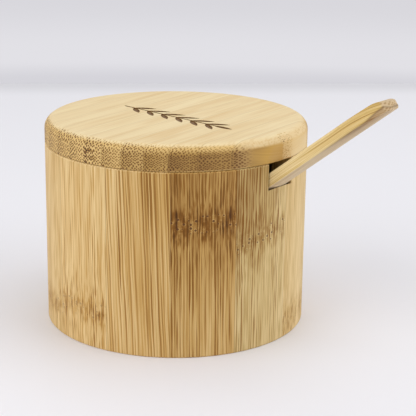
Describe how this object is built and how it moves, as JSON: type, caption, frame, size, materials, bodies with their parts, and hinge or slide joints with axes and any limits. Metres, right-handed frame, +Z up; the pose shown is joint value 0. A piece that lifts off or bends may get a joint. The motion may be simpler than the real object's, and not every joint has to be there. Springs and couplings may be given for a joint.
{
  "type": "salt cellar",
  "caption": "Round bamboo salt cellar with a flat lid that swivels on a pin, and a spoon whose handle leaves through a notch in the rim.",
  "frame": {"origin": "centre of the base, on the face that it stands on", "axes": "+Z up; +X towards the notch and the spoon's handle; the lid's pivot pin is on the -X side"},
  "size_m": [0.1296, 0.089, 0.0869],
  "materials": {
    "bamboo_wall": "oiled bamboo, satin, long fibres up the wall with node bands",
    "bamboo_lid": "oiled bamboo, satin, faint streaks along the strips, speckled end grain, burnt engraving",
    "bamboo_floor": "oiled bamboo, satin",
    "bamboo_spoon": "oiled bamboo, satin",
    "steel_pin": "bright drawn steel",
    "nickel_magnet": "nickel plated"
  },
  "bodies": {
    "cellar": {"stave_01": "bamboo_wall", "stave_02": "bamboo_wall", "stave_03": "bamboo_wall", "stave_04": "bamboo_wall", "stave_05": "bamboo_wall", "stave_06": "bamboo_wall", "stave_07": "bamboo_wall", "stave_08": "bamboo_wall", "stave_09": "bamboo_wall", "stave_10": "bamboo_wall", "stave_11": "bamboo_wall", "stave_12": "bamboo_wall", "stave_13": "bamboo_wall", "floor_strip_01": "bamboo_floor", "floor_strip_02": "bamboo_floor", "floor_strip_03": "bamboo_floor", "floor_strip_04": "bamboo_floor", "floor_strip_05": "bamboo_floor", "floor_strip_06": "bamboo_floor", "floor_strip_07": "bamboo_floor", "floor_strip_08": "bamboo_floor", "floor_strip_09": "bamboo_floor", "floor_strip_10": "bamboo_floor", "floor_strip_11": "bamboo_floor", "floor_strip_12": "bamboo_floor", "pivot_pin": "steel_pin", "rim_magnet_left": "nickel_magnet", "rim_magnet_right": "nickel_magnet"},
    "lid": {"lid_strip_01": "bamboo_lid", "lid_strip_02": "bamboo_lid", "lid_strip_03": "bamboo_lid", "lid_strip_04": "bamboo_lid", "lid_strip_05": "bamboo_lid", "lid_strip_06": "bamboo_lid", "lid_strip_07": "bamboo_lid", "lid_strip_08": "bamboo_lid", "lid_strip_09": "bamboo_lid", "lid_strip_10": "bamboo_lid", "lid_strip_11": "bamboo_lid", "lid_strip_12": "bamboo_lid", "lid_strip_13": "bamboo_lid", "lid_magnet_left": "nickel_magnet", "lid_magnet_right": "nickel_magnet"},
    "spoon": {"spoon": "bamboo_spoon"}
  },
  "joints": [
    {"name": "lid_swivel", "type": "hinge", "parent": "cellar", "child": "lid", "pos_m": [-0.0405, 0, 0.06175], "axis": [0, 0, 1], "continuous": true},
    {"name": "spoon_draw", "type": "slide", "parent": "cellar", "child": "spoon", "axis": [0.7944, 0, 0.6074], "range_m": [0, 0.044]}
  ]
}
